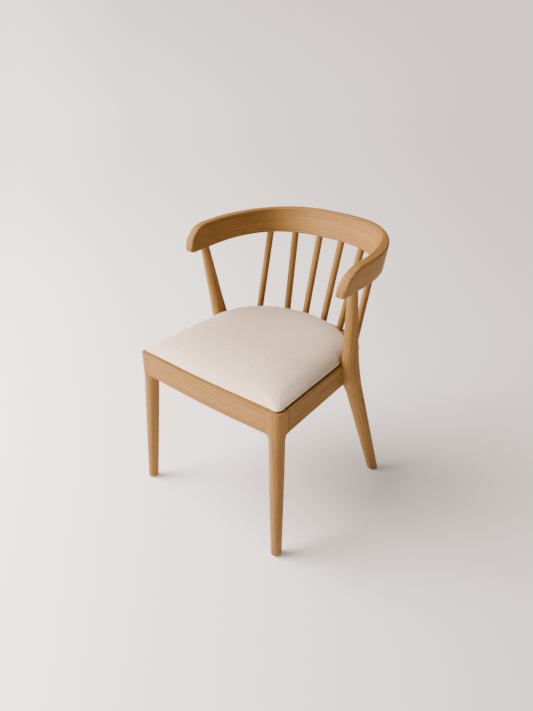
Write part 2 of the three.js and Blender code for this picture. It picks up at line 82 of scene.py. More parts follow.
SPINDLE = {"radius": 0.0105, "top_x": [0.0388, 0.1177, 0.1838], "foot_x": [0.034, 0.099, 0.178]}
PAD = {
    "front": (0.243, -0.2815), "bow": 0.005, "corner": 0.018,
    "side": (0.222, 0.002), "rear": (0.213, 0.030), "back": 0.1805, "middle": -0.0375,
    "bottom": 0.4406, "edge": 0.4458, "top": 0.4866, "swell": 0.002,
}
# The outline is drawn in runs, each with this many points to one unit of its weight.
PAD_POINTS = {"pad": 7, "dust_cover": 5}
SWELL_FRAMES = 20
DUST = {"share": 0.87, "hem": 0.012, "hem_layers": 1.8, "sag": 0.0035, "thick": 0.0006}
STAPLE = {"count": 46, "half_length": 0.005, "half_width": 0.0005, "thick": 0.0006}


# ---------------------------------------------------------------- camera, light and studio
CAMERA = {"place": (0.9632, -1.1812, 1.2399), "azimuth": 40.08, "pitch": 29.06, "lens": 30.38}
WARM = (1.0, 0.86, 0.77)
WINDOW = {"place": (-2.1, -2.3, 1.7), "aim": (0, 0, 0.4), "size": 2.2, "power": 238}
SKY = {"direction": (0.56, 0.27, -0.80), "spread": radians(42), "strength": 6.6}
ROOM_GLOW = 0.09
BACKDROP = {"flat": 9, "curve": 9, "bend": radians(48), "sides": 96, "tone_start": 2.6}


# ---------------------------------------------------------------- small sums
def mix(a, b, t):
    return a + (b - a) * t


def ease(value, low, high):
    t = min(max((value - low) / (high - low), 0), 1)
    return t * t * (3 - 2 * t)


def quarter_round(t):
    """Rises as a quarter circle from 0 at t = 0 to 1 at t = 1."""
    return sqrt(1 - (1 - min(max(t, 0), 1)) ** 2)


def square_radius(angle, power):
    """Radius of a unit square with rounded corners, softer the lower its power."""
    return (abs(cos(angle)) ** power + abs(sin(angle)) ** power) ** (-1 / power)


def egg(angle, half, centre, depth, power):
    """Point in plan at an angle from the back's middle of a half-egg curve."""
    side = half * abs(sin(angle)) ** (2 / power)
    return (side if angle > 0 else -side), centre + depth * abs(cos(angle)) ** (2 / power)


# ---------------------------------------------------------------- meshes
def mesh_piece(name, points, faces, grain=None):
    mesh = bpy.data.meshes.new(name)
    mesh.from_pydata(points, [], faces)
    if grain is not None:
        layer = mesh.attributes.new("grain", "FLOAT_VECTOR", "POINT")
        layer.data.foreach_set("vector", np.asarray(grain, dtype=np.float32).ravel())
    made = bmesh.new()
    made.from_mesh(mesh)
    bmesh.ops.recalc_face_normals(made, faces=made.faces)
    for face in made.faces:
        face.smooth = True
    for edge in made.edges:
        edge.smooth = len(edge.link_faces) == 2 and edge.calc_face_angle() < radians(38)
    made.to_mesh(mesh)
    made.free()
    piece = bpy.data.objects.new(name, mesh)
    bpy.context.collection.objects.link(piece)
    return piece


def skin_faces(rings, count):
    """Quads between rings of equal count, and a flat face over each end."""
    faces = []
    for i in range(rings - 1):
        for k in range(count):
            n = (k + 1) % count
            faces.append((i * count + k, i * count + n, (i + 1) * count + n, (i + 1) * count + k))
    faces.append(tuple(reversed(range(count))))
    faces.append(tuple(range((rings - 1) * count, rings * count)))
    return faces


def finish_piece(piece, material, slot, *nodes):
    piece.data.materials.append(material)
    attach(piece, "root")
    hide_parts(*nodes)
    return piece


# The crest and arms show one plank's grain. The other pieces are numbered as they come.
BOW_PLANK = 33
grain_count = 0


def wooden(node, rings, grain, side=1, plank=None):
    """An oak piece over rings, cut from its own place in the tree or from a plank it shares."""
    global grain_count
    grain_count += 1
    number = plank or grain_count
    place = Vector((0.11 * (number % 5) - 0.2, 0.045 + 0.03 * (number % 3), 1.7 * number))
    points = [(side * x, y, z) for ring in rings for x, y, z in ring]
    fibres = [tuple(Vector(g) + place) for ring in grain for g in ring]
    piece = mesh_piece(node + "_wood", points, skin_faces(len(rings), len(rings[0])), fibres)
    return finish_piece(piece, OAK, "oak", node)


def wooden_pair(name, rings, grain):
    for side, word in ((1, "right"), (-1, "left")):
        wooden(f"{name}_{word}", rings, grain, side)


# ---------------------------------------------------------------- materials
RINGS_PER_METRE = 120
YARN_WANDER = 0.0012
PLY_THICKNESS = 0.0028


class Nodes:
    """Writes a material's node tree line by line."""

    def __init__(self, name):
        self.material = bpy.data.materials.new(name)
        self.material.use_nodes = True
        self.tree = self.material.node_tree
        self.shader = self.tree.nodes["Principled BSDF"]

    def add(self, kind, inputs=None, **settings):
        node = self.tree.nodes.new(kind)
        for key, value in settings.items():
            setattr(node, key, value)
        for key, value in (inputs or {}).items():
            if isinstance(value, bpy.types.NodeSocket):
                self.tree.links.new(value, node.inputs[key])
            else:
                node.inputs[key].default_value = value
        return node

    def math(self, operation, a, b=0.0, clamp=False):
        node = self.add("ShaderNodeMath", {0: a, 1: b}, operation=operation, use_clamp=clamp)
        return node.outputs[0]

    def vector(self, operation, a, b):
        return self.add("ShaderNodeVectorMath", {0: a, 1: b}, operation=operation).outputs[0]

    def scaled(self, vector, scale):
        """The vector times a scale for each axis."""
        return self.vector("MULTIPLY", vector, scale)

    def centred(self, noise, strength):
        """A noise moved from its middle of 0.5 to 0, times a strength."""
        return self.math("MULTIPLY", self.math("SUBTRACT", noise, 0.5), strength)

    def noise(self, vector, scale=1.0, detail=3.0, roughness=0.55):
        inputs = {"Vector": vector, "Scale": scale, "Detail": detail, "Roughness": roughness}
        return self.add("ShaderNodeTexNoise", inputs).outputs[0]

    def ramp(self, value, *stops):
        """Colours or grey values along a value, as (position, colour) stops."""
        made = self.add("ShaderNodeValToRGB", {0: value})
        ramp = made.color_ramp
        while len(ramp.elements) < len(stops):
            ramp.elements.new(0.5)
        for element, (position, colour) in zip(ramp.elements, stops):
            element.position = position
            red_green_blue = colour if isinstance(colour, tuple) else (colour,) * 3
            element.color = (*red_green_blue, 1)
        return made.outputs[0]

    def blend(self, kind, factor, a, b):
        node = self.add("ShaderNodeMix", {0: factor}, data_type="RGBA", blend_type=kind)
        for socket, value in ((node.inputs[6], a), (node.inputs[7], b)):
            if isinstance(value, bpy.types.NodeSocket):
                self.tree.links.new(value, socket)
            else:
                socket.default_value = (*value, 1)
        return node.outputs[2]

    def bump(self, height, strength, distance):
        inputs = {"Height": height, "Strength": strength, "Distance": distance}
        self.set("Normal", self.add("ShaderNodeBump", inputs).outputs[0])

    def set(self, socket, value):
        if isinstance(value, bpy.types.NodeSocket):
            self.tree.links.new(value, self.shader.inputs[socket])
        else:
            self.shader.inputs[socket].default_value = value


def wood(name, light, dark, roughness, coordinates="grain", along=(1, 1, 1)):
    """Straight-grained wood: rings, broad streaks and fine pores, all long along the fibres."""
    n = Nodes(name)
    if coordinates == "grain":
        place = n.add("ShaderNodeAttribute", attribute_name="grain").outputs["Vector"]
    else:
        place = n.scaled(n.add("ShaderNodeTexCoord").outputs["Object"], along)
    # The rings are shells round a heart that wanders slowly along the fibres.
    wander = n.noise(n.scaled(place, (6, 6, 2.2)), detail=2)
    out, up, _ = n.add("ShaderNodeSeparateXYZ", {0: n.scaled(place, (1, 1, 0.04))}).outputs
    off_heart = n.math("ADD", out, n.math("MULTIPLY", wander, 0.035))
    squares = n.math("ADD", n.math("POWER", off_heart, 2), n.math("POWER", up, 2))
    rings = n.math("FRACT", n.math("MULTIPLY", n.math("SQRT", squares), RINGS_PER_METRE))
    ring_tone = n.ramp(rings, (0.0, 0.35), (0.55, 0.62), (0.86, 1.0), (1.0, 0.35))
    streaks = n.noise(n.scaled(place, (75, 75, 2.2)), detail=5, roughness=0.6)
    fibres = n.noise(n.scaled(place, (1100, 1100, 26)), detail=2)
    pores = n.ramp(n.noise(n.scaled(place, (1500, 1500, 42)), detail=1), (0.36, 1.0), (0.47, 0.0))
    tone = n.math("ADD", n.math("MULTIPLY", ring_tone, 0.30), n.math("MULTIPLY", streaks, 0.75))
    tone = n.math("ADD", tone, n.centred(fibres, 0.35), clamp=True)
    middle_tone = tuple(mix(a, b, 0.5) for a, b in zip(light, dark))
    colour = n.ramp(tone, (0.22, light), (0.62, middle_tone), (0.95, dark))
    broad = n.noise(n.scaled(place, (14, 14, 1.6)), detail=2)
    shade = n.ramp(broad, (0.3, (0.86, 0.83, 0.80)), (0.7, (1.0, 1.0, 1.0)))
    colour = n.blend("MULTIPLY", 0.5, colour, shade)
    colour = n.blend("MULTIPLY", n.math("MULTIPLY", pores, 0.30), colour, (0.45, 0.33, 0.24))
    n.set("Base Color", colour)
    n.set("Roughness", n.math("ADD", n.math("MULTIPLY", streaks, 0.16), roughness - 0.08))
    n.set("Specular IOR Level", 0.15)
    relief = n.math("SUBTRACT", n.math("MULTIPLY", fibres, 0.5), n.math("MULTIPLY", pores, 0.6))
    n.bump(relief, 0.25, 0.0002)
    return n.material


def woven(name, light, dark, pitch, roughness, sheen):
    """Plain weave of uneven yarns that follows the piece's own unrolled coordinates."""
    n = Nodes(name)
    place = n.add("ShaderNodeAttribute", attribute_name="weave").outputs["Vector"]
    uneven = n.add("ShaderNodeTexNoise", {"Vector": place, "Scale": 55.0, "Detail": 2.0})
    offset = n.vector("SUBTRACT", uneven.outputs["Color"], (0.5, 0.5, 0.5))
    threads = n.vector("ADD", place, n.scaled(offset, (YARN_WANDER,) * 3))
    phases = n.scaled(threads, (pi / pitch,) * 3)
    across, along, _ = n.add("ShaderNodeSeparateXYZ", {0: phases}).outputs
    crossing = n.math("MULTIPLY", n.math("SINE", across), n.math("SINE", along))
    bulge = n.math("MULTIPLY", n.math("ABSOLUTE", crossing), 0.7)
    height = n.math("ADD", bulge, n.math("MULTIPLY", crossing, 0.15))
    slubs_along = n.noise(n.scaled(place, (420, 30, 1)), detail=2)
    slubs_across = n.noise(n.scaled(place, (30, 420, 1)), detail=2)
    slubs = n.math("ADD", slubs_along, slubs_across)
    mottle = n.noise(place, scale=210.0, detail=4, roughness=0.7)
    fuzz = n.noise(place, scale=900.0, detail=3)
    tone = n.math("ADD", n.math("MULTIPLY", height, 0.25), n.math("MULTIPLY", slubs, 0.55))
    tone = n.math("ADD", tone, n.centred(mottle, 1.5))
    tone = n.math("ADD", tone, n.centred(fuzz, 0.4), clamp=True)
    colour = n.ramp(tone, (0.30, dark), (0.85, light))
    # Painted shade: the cloth's colour is darkened towards the back, standing in for the shade of
    # the bow and the light falling off over the pad.
    back = n.add("ShaderNodeSeparateXYZ", {0: place}).outputs[1]
    depth = n.math("ADD", n.math("MULTIPLY", back, 2.2), 0.62, clamp=True)
    middle_shade, back_shade = (0.72, 0.70, 0.67), (0.56, 0.53, 0.485)
    painted_shade = n.ramp(depth, (0.0, (1.0, 1.0, 1.0)), (0.35, middle_shade), (1.0, back_shade))
    n.set("Base Color", n.blend("MULTIPLY", 1.0, colour, painted_shade))
    n.set("Roughness", roughness)
    n.set("Specular IOR Level", 0.2)
    n.set("Sheen Weight", sheen)
    n.set("Sheen Roughness", 0.5)
    n.bump(n.math("ADD", height, n.math("MULTIPLY", n.math("ADD", fuzz, mottle), 0.6)), 0.5, 0.0005)
    return n.material


def plain(name, colour, roughness, metallic=0.0, speck=0.08, scale=260.0):
    """Plastic, metal or cloth with a fine unevenness in its colour, roughness and surface."""
    n = Nodes(name)
    place = n.add("ShaderNodeTexCoord").outputs["Object"]
    fine = n.noise(place, scale=scale, detail=4)
    dark = tuple(c * (1 - 3 * speck) for c in colour)
    light = tuple(min(c * (1 + 3 * speck), 1) for c in colour)
    n.set("Base Color", n.ramp(fine, (0.3, dark), (0.7, light)))
    n.set("Roughness", n.math("ADD", n.math("MULTIPLY", fine, 0.2), roughness - 0.1))
    n.set("Metallic", metallic)
    n.bump(fine, 0.3, 0.0002)
    return n.material


def plywood():
    """Thin layers seen at the edge, and open grain on the faces."""
    n = Nodes("birch_plywood")
    place = n.add("ShaderNodeTexCoord").outputs["Object"]
    grain = n.noise(n.scaled(place, (220, 9, 60)), detail=4)
    height = n.add("ShaderNodeSeparateXYZ", {0: place}).outputs[2]
    layers = n.math("FRACT", n.math("MULTIPLY", height, 1 / PLY_THICKNESS))
    tone = n.math("ADD", n.math("MULTIPLY", grain, 0.7), n.math("MULTIPLY", layers, 0.3))
    n.set("Base Color", n.ramp(tone, (0.3, (0.66, 0.48, 0.30)), (0.75, (0.47, 0.31, 0.17))))
    n.set("Roughness", 0.7)
    n.bump(grain, 0.3, 0.0002)
    return n.material


OAK = wood("oiled_oak", (0.350, 0.196, 0.057), (0.118, 0.054, 0.012), 0.60)
BEECH = wood("plain_beech", (0.42, 0.27, 0.125), (0.30, 0.17, 0.065), 0.62, "object", (1, 1, 0.05))
LINEN = woven("oatmeal_linen", (0.94, 0.79, 0.645), (0.64, 0.515, 0.395), 0.0011, 0.92, 0.35)
BLACK_CLOTH = plain("black_cloth", (0.022, 0.022, 0.024), 0.9, speck=0.12, scale=900.0)
STEEL = plain("zinc_steel", (0.56, 0.56, 0.55), 0.38, metallic=1.0, speck=0.04, scale=500.0)
GLIDE_PLASTIC = plain("glide_plastic", (0.035, 0.030, 0.027), 0.5, speck=0.05, scale=700.0)
PLYWOOD = plywood()


# ---------------------------------------------------------------- legs
LEG_SIDES = 96


def leg_ring(x, y, z, radius_at):
    """A ring round a leg's axis, and its fibre coordinates."""
    points, fibres = [], []
    for k in range(LEG_SIDES):
        angle = 2 * pi * k / LEG_SIDES
        radius = radius_at(angle)
        points.append((x + radius * cos(angle), y + radius * sin(angle), z))
        fibres.append((radius * cos(angle), radius * sin(angle), z))
    return points, fibres


def leg_rings(heights, axis, radius_at):
    made = [leg_ring(*axis(z), z, lambda angle, z=z: radius_at(z, angle)) for z in heights]
    return [points for points, _ in made], [fibres for _, fibres in made]


def heights_between(*spans):
    """Heights over several (from, to, steps) spans, bottom to top."""
    heights = [low + (high - low) * i / steps for low, high, steps in spans for i in range(steps)]
    return heights + [spans[-1][1]]


def front_leg_axis(z):
    t = min((z - GLIDE_TOP) / (RAIL_BOTTOM - GLIDE_TOP), 1)
    block_x, block_y = FRONT_LEG["block"]
    return mix(FRONT_FOOT.x, block_x, t), mix(FRONT_FOOT.y, block_y, t)


def edge_trim(distance, radius):
    """How far a rounded edge draws in at a distance from the end face."""
    return radius * (1 - quarter_round(distance / radius))


def front_leg_radius(z, angle):
    """Round below, and a block between the rails whose outer corner alone is round."""
    half, fillet = FRONT_LEG["half"], FRONT_LEG["fillet"]
    outer_corner = cos(angle) > 0 and sin(angle) < 0
    block = half * square_radius(angle, 2.5 if outer_corner else 60)
    climb = min(z / (RAIL_BOTTOM - fillet), 1)
    taper = (climb + sin(climb * pi / 2)) / 2
    round_leg = mix(FRONT_LEG["foot_radius"], FRONT_LEG["radius"], taper)
    share = 1 - quarter_round((RAIL_BOTTOM - z) / fillet) if z < RAIL_BOTTOM else 1
    trim = edge_trim(z - GLIDE_TOP, FRONT_LEG["foot_edge"]) + edge_trim(SEAT_TOP - z, 0.0028)
    return mix(round_leg, block, share) - trim


def add_front_legs():
    low, high = GLIDE_TOP, SEAT_TOP
    heights = heights_between(
        (low, low + 0.004, 6), (low + 0.004, 0.34, 24), (0.34, RAIL_BOTTOM, 18),
        (RAIL_BOTTOM, high - 0.0028, 6), (high - 0.0028, high, 6),
    )
    wooden_pair("front_leg", *leg_rings(heights, front_leg_axis, front_leg_radius))


def rear_leg_axis(z):
    """Straight from the foot, bent beside the seat, straight on to the arm."""
    knee, knee_z, half = REAR_LEG["knee"], REAR_LEG["knee_z"], REAR_LEG["knee_half"]

    def lower(h):
        return [mix(foot, bend, h / knee_z) for foot, bend in zip(REAR_FOOT, knee)]

    def upper(h):
        t = (h - knee_z) / (BOW["base_z"] - knee_z)
        return [mix(bend, end, t) for bend, end in zip(knee, REAR_LEG["top"])]

    if z <= knee_z - half:
        return lower(z)
    if z >= knee_z + half:
        return upper(z)
    t = (z - knee_z + half) / (2 * half)
    corners = zip(lower(knee_z - half), knee, upper(knee_z + half))
    return [(1 - t) ** 2 * a + 2 * t * (1 - t) * b + t * t * c for a, b, c in corners]


def smooth_curve(xs, ys):
    """A function through the given values, with no steps in its slope."""
    xs, ys = np.array(xs), np.array(ys)
    slopes = np.gradient(ys, xs)

    def at(x):
        i = int(np.clip(np.searchsorted(xs, x) - 1, 0, len(xs) - 2))
        span = xs[i + 1] - xs[i]
        t = (x - xs[i]) / span
        start = (1 + 2 * t) * (1 - t) ** 2 * ys[i] + t * t * (3 - 2 * t) * ys[i + 1]
        return start + t * (1 - t) ** 2 * span * slopes[i] - t * t * (1 - t) * span * slopes[i + 1]

    return at


rear_leg_girth = smooth_curve(REAR_LEG["heights"], REAR_LEG["radii"])


def rear_leg_radius(z, angle):
    """Round, but squarer on the inner side where the rails meet it."""
    square = ease(z, 0.335, 0.385) * (1 - ease(z, 0.425, 0.450))
    inner = square_radius(angle, 5) if cos(angle) < 0 else 1
    trim = edge_trim(z - GLIDE_TOP, FRONT_LEG["foot_edge"])
    return rear_leg_girth(z) * mix(1, inner, square) - trim


def add_rear_legs():
    low, high = GLIDE_TOP, underside(REAR_LEG["top"][1]) + 0.003
    heights = heights_between(
        (low, low + 0.004, 6), (low + 0.004, 0.33, 20), (0.33, 0.51, 44), (0.51, high, 16),
    )
    wooden_pair("rear_leg", *leg_rings(heights, rear_leg_axis, rear_leg_radius))


# ---------------------------------------------------------------- rails
def rounded_box(width, height, low_edge, high_edge, steps=6):
    """Outline of a box with rounded edges as (out, up) points, with its foot at up = 0."""
    points = []
    for side, top, edge, start in (
        (1, 0, low_edge, -90), (1, 1, high_edge, 0), (-1, 1, high_edge, 90), (-1, 0, low_edge, 180),
    ):
        for i in range(steps + 1):
            angle = radians(start + 90 * i / steps)
            up = (height - edge if top else edge) + edge * sin(angle)
            points.append((side * (width / 2 - edge) + edge * cos(angle), up))
    return points


def swept_rail(path, thick):
    """Rings along a path in plan. Fibre coordinates are up, out from the middle, and along."""
    rings, grain = [], []
    travelled = 0
    section = rounded_box(thick, SEAT_TOP - RAIL_BOTTOM, 0.0018, RAIL_EDGE)
    for i, (x, y) in enumerate(path):
        before, after = path[max(i - 1, 0)], path[min(i + 1, len(path) - 1)]
        dx, dy = after[0] - before[0], after[1] - before[1]
        length = hypot(dx, dy)
        out_x, out_y = dy / length, -dx / length
        travelled += hypot(x - before[0], y - before[1])
        rings.append([(x + out_x * out, y + out_y * out, RAIL_BOTTOM + up) for out, up in section])
        grain.append([(up, out, travelled) for out, up in section])
    return rings, grain


def add_front_rail():
    end = FRONT_LEG["block"][0] - FRONT_LEG["half"]
    path = []
    for i in range(33):
        x = mix(-end, end, i / 32)
        bow = FRONT_RAIL["bow"] * (1 - (x / end) ** 2)
        path.append((x, FRONT_RAIL["y"] - bow + FRONT_RAIL["thick"] / 2))
    wooden("front_rail", *swept_rail(path, FRONT_RAIL["thick"]))


def side_rail_x(y):
    """The side rail's outer face in plan."""
    (front_x, front_y), (rear_x, rear_y) = SIDE_RAIL["front"], SIDE_RAIL["rear"]
    return mix(front_x, rear_x, (y - front_y) / (rear_y - front_y))


def add_side_rails():
    start, end = SIDE_RAIL["front"][1] + 0.0002, REAR_LEG["knee"][1] - 0.0002
    path = []
    for i in range(17):
        y = mix(start, end, i / 16)
        path.append((side_rail_x(y) - SIDE_RAIL["thick"] / 2, y))
    wooden_pair("side_rail", *swept_rail(path, SIDE_RAIL["thick"]))


def add_rear_rail():
    spec = (REAR_RAIL["half"], REAR_RAIL["centre"], REAR_RAIL["depth"], REAR_RAIL["power"])
    path = [egg(mix(1, -1, i / 96) * pi / 2, *spec) for i in range(97)]
    wooden("rear_rail", *swept_rail(path, REAR_RAIL["thick"]))


# ---------------------------------------------------------------- bow
def underside(y):
    return BOW["base_z"] + BOW["rise"] * (y - BOW["base_y"])


def bow_middle_line():
    """Evenly spaced points on the bow's middle line in plan, from left to right, and its length."""
    spec = (BOW["half"], BOW["centre"], BOW["depth"], BOW["power"])
    curve = [egg(mix(-1, 1, i / 800) * pi / 2, *spec) for i in range(801)]
    arm = [(BOW["half"], mix(BOW["centre"], ARM_TIP_Y, i / 60)) for i in range(1, 61)]
    points = np.array([(-x, y) for x, y in reversed(arm)] + curve + arm)
    lengths = np.concatenate([[0], np.cumsum(np.hypot(*np.diff(points, axis=0).T))])
    even = np.linspace(0, lengths[-1], 2001)
    return np.column_stack([np.interp(even, lengths, points[:, i]) for i in (0, 1)]), lengths[-1]


BOW_LINE, BOW_LENGTH = bow_middle_line()


def bow_ring(share):
    """A leaning section of the bow at a share of its length, and its fibre coordinates."""
    place = share * (len(BOW_LINE) - 1)
    i = int(min(place, len(BOW_LINE) - 2))
    x, y = mix(BOW_LINE[i], BOW_LINE[i + 1], place - i)
    ahead, behind = BOW_LINE[min(i + 6, len(BOW_LINE) - 1)], BOW_LINE[max(i - 5, 0)]
    dx, dy = (ahead - behind) / hypot(*(ahead - behind))
    arm = abs(share - 0.5) * 2
    to_tip = (1 - arm) * BOW_LENGTH / 2
    lean = mix(BOW["back_lean"], BOW["arm_lean"], ease(arm, 0.15, 0.62))
    thick = BOW["back_thick"]
    thick += (BOW["corner_thick"] - BOW["back_thick"]) * ease(arm, 0.33, 0.62)
    thick += (BOW["arm_thick"] - BOW["corner_thick"]) * ease(arm, 0.62, 1)
    tip_round = quarter_round(to_tip / BOW["nose_round"])
    height = max(BOW["height"] * quarter_round(to_tip / BOW["nose"]), BOW["nose_floor"])
    lift = 0.8 * BOW["nose_round"] * (1 - tip_round)
    width = thick * mix(0.5, 1, tip_round)
    tall = height - lift
    most = 0.47 * min(width, tall)
    top_edge, bottom_edge = min(BOW["top_edge"], most), min(BOW["bottom_edge"], most)
    points, fibres = [], []
    for out, up in rounded_box(width, tall, bottom_edge, top_edge, 8):
        leaning = out + tan(lean) * (up + lift)
        points.append((x - dy * leaning, y + dx * leaning, underside(y) + up + lift))
        fibres.append((up, out, share * BOW_LENGTH))
    return points, fibres


def bow_rings(shares):
    made = [bow_ring(share) for share in shares]
    return [points for points, _ in made], [fibres for _, fibres in made]


def add_bow():
    joint = BOW["joint"] / 2
    gap = BOW["joint_gap"] / BOW_LENGTH
    crest = [mix(0.5 - joint, 0.5 + joint, i / 140) for i in range(141)]
    wooden("crest", *bow_rings(crest), plank=BOW_PLANK)
    arm = [mix(0.5 + joint + gap, 1, sin(pi / 2 * i / 60)) for i in range(61)]
    wooden("arm_right", *bow_rings(arm), plank=BOW_PLANK)
    wooden("arm_left", *bow_rings([1 - share for share in arm]), plank=BOW_PLANK)


# ---------------------------------------------------------------- spindles
def add_spindles():
    rail = (REAR_RAIL["half"], REAR_RAIL["centre"], REAR_RAIL["depth"], REAR_RAIL["power"])
    bow = (BOW["half"], BOW["centre"], BOW["depth"], BOW["power"])
    for name, top_x, foot_x in zip(SPINDLE_NAMES, SPINDLE["top_x"], SPINDLE["foot_x"]):
        foot = egg(np.arcsin((foot_x / REAR_RAIL["half"]) ** (REAR_RAIL["power"] / 2)), *rail)
        top = egg(np.arcsin((top_x / BOW["half"]) ** (BOW["power"] / 2)), *bow)
        top_z = underside(top[1])

        def axis(z):
            t = (z - SEAT_TOP) / (top_z - SEAT_TOP)
            return mix(foot[0], top[0], t), mix(foot[1], top[1], t)

        low, high, edge = SEAT_TOP + 0.0001, top_z + 0.004, 0.001
        heights = heights_between((low, SEAT_TOP + edge, 3), (SEAT_TOP + edge, high, 14))

        def radius_at(z, angle):
            return SPINDLE["radius"] - edge_trim(z - SEAT_TOP, edge)

        wooden_pair(f"spindle_{name}", *leg_rings(heights, axis, radius_at))


# ---------------------------------------------------------------- seat pad
def bezier(a, b, c, d, t):
    return (1 - t) ** 3 * a + 3 * t * (1 - t) ** 2 * b + 3 * t * t * (1 - t) * c + t**3 * d


def pad_outline(steps):
    """The pad's widest outline, anticlockwise from the middle of its front."""
    (front_x, front_y), (side_x, side_y), (rear_x, rear_y) = PAD["front"], PAD["side"], PAD["rear"]
    corner, back, edge_y = PAD["corner"], PAD["back"], front_y - PAD["bow"]
    corner_start = (front_x - corner, front_y)
    corner_end = (mix(front_x, side_x, corner / (side_y - front_y)), front_y + corner)
    round_corner = (front_x - corner / 3, front_y), (front_x - 0.001, front_y + corner / 3)
    beside_leg = (side_x - 0.003, side_y + 0.004), (rear_x + 0.003, rear_y - 0.0147)
    rise = 0.52 * (back - rear_y)
    runs = [
        (3, (0, edge_y), (front_x * 0.4, edge_y), (front_x * 0.7, front_y), corner_start),
        (1, corner_start, *round_corner, corner_end),
        (4, corner_end, corner_end, PAD["side"], PAD["side"]),
        (1, PAD["side"], *beside_leg, PAD["rear"]),
        (4, PAD["rear"], (rear_x - 0.005, rear_y + rise), (0.52 * rear_x, back), (0, back)),
    ]
    half = []
    for weight, *run in runs:
        xs, ys = zip(*run)
        shares = [i / (weight * steps) for i in range(weight * steps)]
        half += [(bezier(*xs, t), bezier(*ys, t)) for t in shares]
    half.append((0, back))
    return half + [(-x, y) for x, y in reversed(half[1:-1])]


def pad_height(share, y):
    """Height of the pad's top: a broad, soft dome in front and a fuller, tighter roll behind."""
    behind = ease(y, -0.22, 0.08)
    flatness, steepness = mix(3.3, 7.0, behind), mix(0.60, 0.46, behind)
    return PAD["edge"] + (PAD["top"] - PAD["edge"]) * (1 - share**flatness) ** steepness


def softened(outline, reach):
    """The outline with its corners eased, as the mean of the points within reach on both sides."""
    count = len(outline)
    window = range(-reach, reach + 1)
    return [
        tuple(sum(outline[(i + k) % count][axis] for k in window) / len(window) for axis in (0, 1))
        for i in range(count)
    ]


def pad_start():
    """The pad before it swells: up from the board's edge, round the roll and over the crown."""
    outline = pad_outline(PAD_POINTS["pad"])
    inner = softened(outline, 2 * PAD_POINTS["pad"])
    wall = [(0.968, 0.0), (0.981, 0.0005), (0.991, 0.0016), (0.997, 0.0032)]
    shares = [1 - 0.985 * (1 - cos(pi / 2 * i / 34)) for i in range(35)]
    points = []
    for share, up in wall:
        for x, y in outline:
            # Behind, the pad's foot reaches back over the rear rail's inner edge.
            reach = mix(share, 0.996, ease(y, 0.03, 0.13))
            points.append((x * reach, ring_y(y, reach), PAD["bottom"] + up))
    for share in shares:
        sharp = share**9
        for (x, y), (soft_x, soft_y) in zip(outline, inner):
            ring_x, ring_at = mix(soft_x, x, sharp) * share, ring_y(mix(soft_y, y, sharp), share)
            points.append((ring_x, ring_at, pad_height(share, ring_at)))
    return mesh_piece("seat_pad", points, skin_faces(len(wall) + len(shares), len(outline)))


def ring_y(y, share):
    return PAD["middle"] + (y - PAD["middle"]) * share


def settle(points, start):
    """Lets no point swell further than the foam allows, and none sink into the board's plane."""
    move = points - start
    length = np.linalg.norm(move, axis=1, keepdims=True)
    points = start + move * PAD["swell"] / (PAD["swell"] + length)
    points[:, 2] = np.maximum(points[:, 2], PAD["bottom"])
    return points


def apply_modifiers(piece):
    bpy.context.view_layer.objects.active = piece
    for modifier in list(piece.modifiers):
        bpy.ops.object.modifier_apply(modifier=modifier.name)


def mesh_points(mesh):
    flat = np.empty(len(mesh.vertices) * 3, dtype=np.float32)
    mesh.vertices.foreach_get("co", flat)
    return flat.reshape(-1, 3).astype(float)


def swell(piece):
    """Cloth simulation of the stuffed pad: pressure inside, held along its foot on the board."""
    start = mesh_points(piece.data)
    held = piece.vertex_groups.new(name="held")
    held.add([i for i, z in enumerate(start[:, 2]) if z < PAD["bottom"] + 0.001], 1.0, "REPLACE")
    cloth = piece.modifiers.new("cloth", "CLOTH")
    settings = cloth.settings
    settings.quality = 6
    settings.mass = 0.35
    settings.tension_stiffness = 25
    settings.compression_stiffness = 25
    settings.shear_stiffness = 12
    settings.bending_stiffness = 0.8
    settings.vertex_group_mass = "held"
    settings.use_pressure = True
    settings.uniform_pressure_force = 4
    settings.effector_weights.gravity = 0
    cloth.collision_settings.use_collision = False
    cloth.collision_settings.use_self_collision = False
    scene = bpy.context.scene
    for number in range(1, SWELL_FRAMES + 1):
        scene.frame_set(number)
    evaluated = piece.evaluated_get(bpy.context.evaluated_depsgraph_get())
    moved = mesh_points(evaluated.data)
    piece.modifiers.remove(cloth)
    scene.frame_set(1)
    piece.data.vertices.foreach_set("co", settle(moved, start).astype(np.float32).ravel())
    piece.data.update()


def unroll(piece):
    """Fabric coordinates that run over the top and on down the sides without stretching."""
    points = mesh_points(piece.data)
    away = points[:, :2] - (0, PAD["middle"])
    away /= np.maximum(np.linalg.norm(away, axis=1, keepdims=True), 1e-6)
    roll_top = PAD["top"] - 0.010
    drop = np.maximum(roll_top - points[:, 2], 0)[:, None]
    flat = points[:, :2] + away * drop
    weave = np.column_stack([flat, np.zeros(len(flat))]).astype(np.float32)
    layer = piece.data.attributes.new("weave", "FLOAT_VECTOR", "POINT")
    layer.data.foreach_set("vector", weave.ravel())


def add_pad():
    pad = pad_start()
    swell(pad)
    smooth = pad.modifiers.new("smooth", "SUBSURF")
    smooth.levels = smooth.render_levels = 1
    apply_modifiers(pad)
    for face in pad.data.polygons:
        face.use_smooth = True
    unroll(pad)
    finish_piece(pad, LINEN, "seat_fabric", "seat_cover", "seat_foam")


def scaled_outline(share):
    return [(x * share, ring_y(y, share)) for x, y in pad_outline(PAD_POINTS["dust_cover"])]


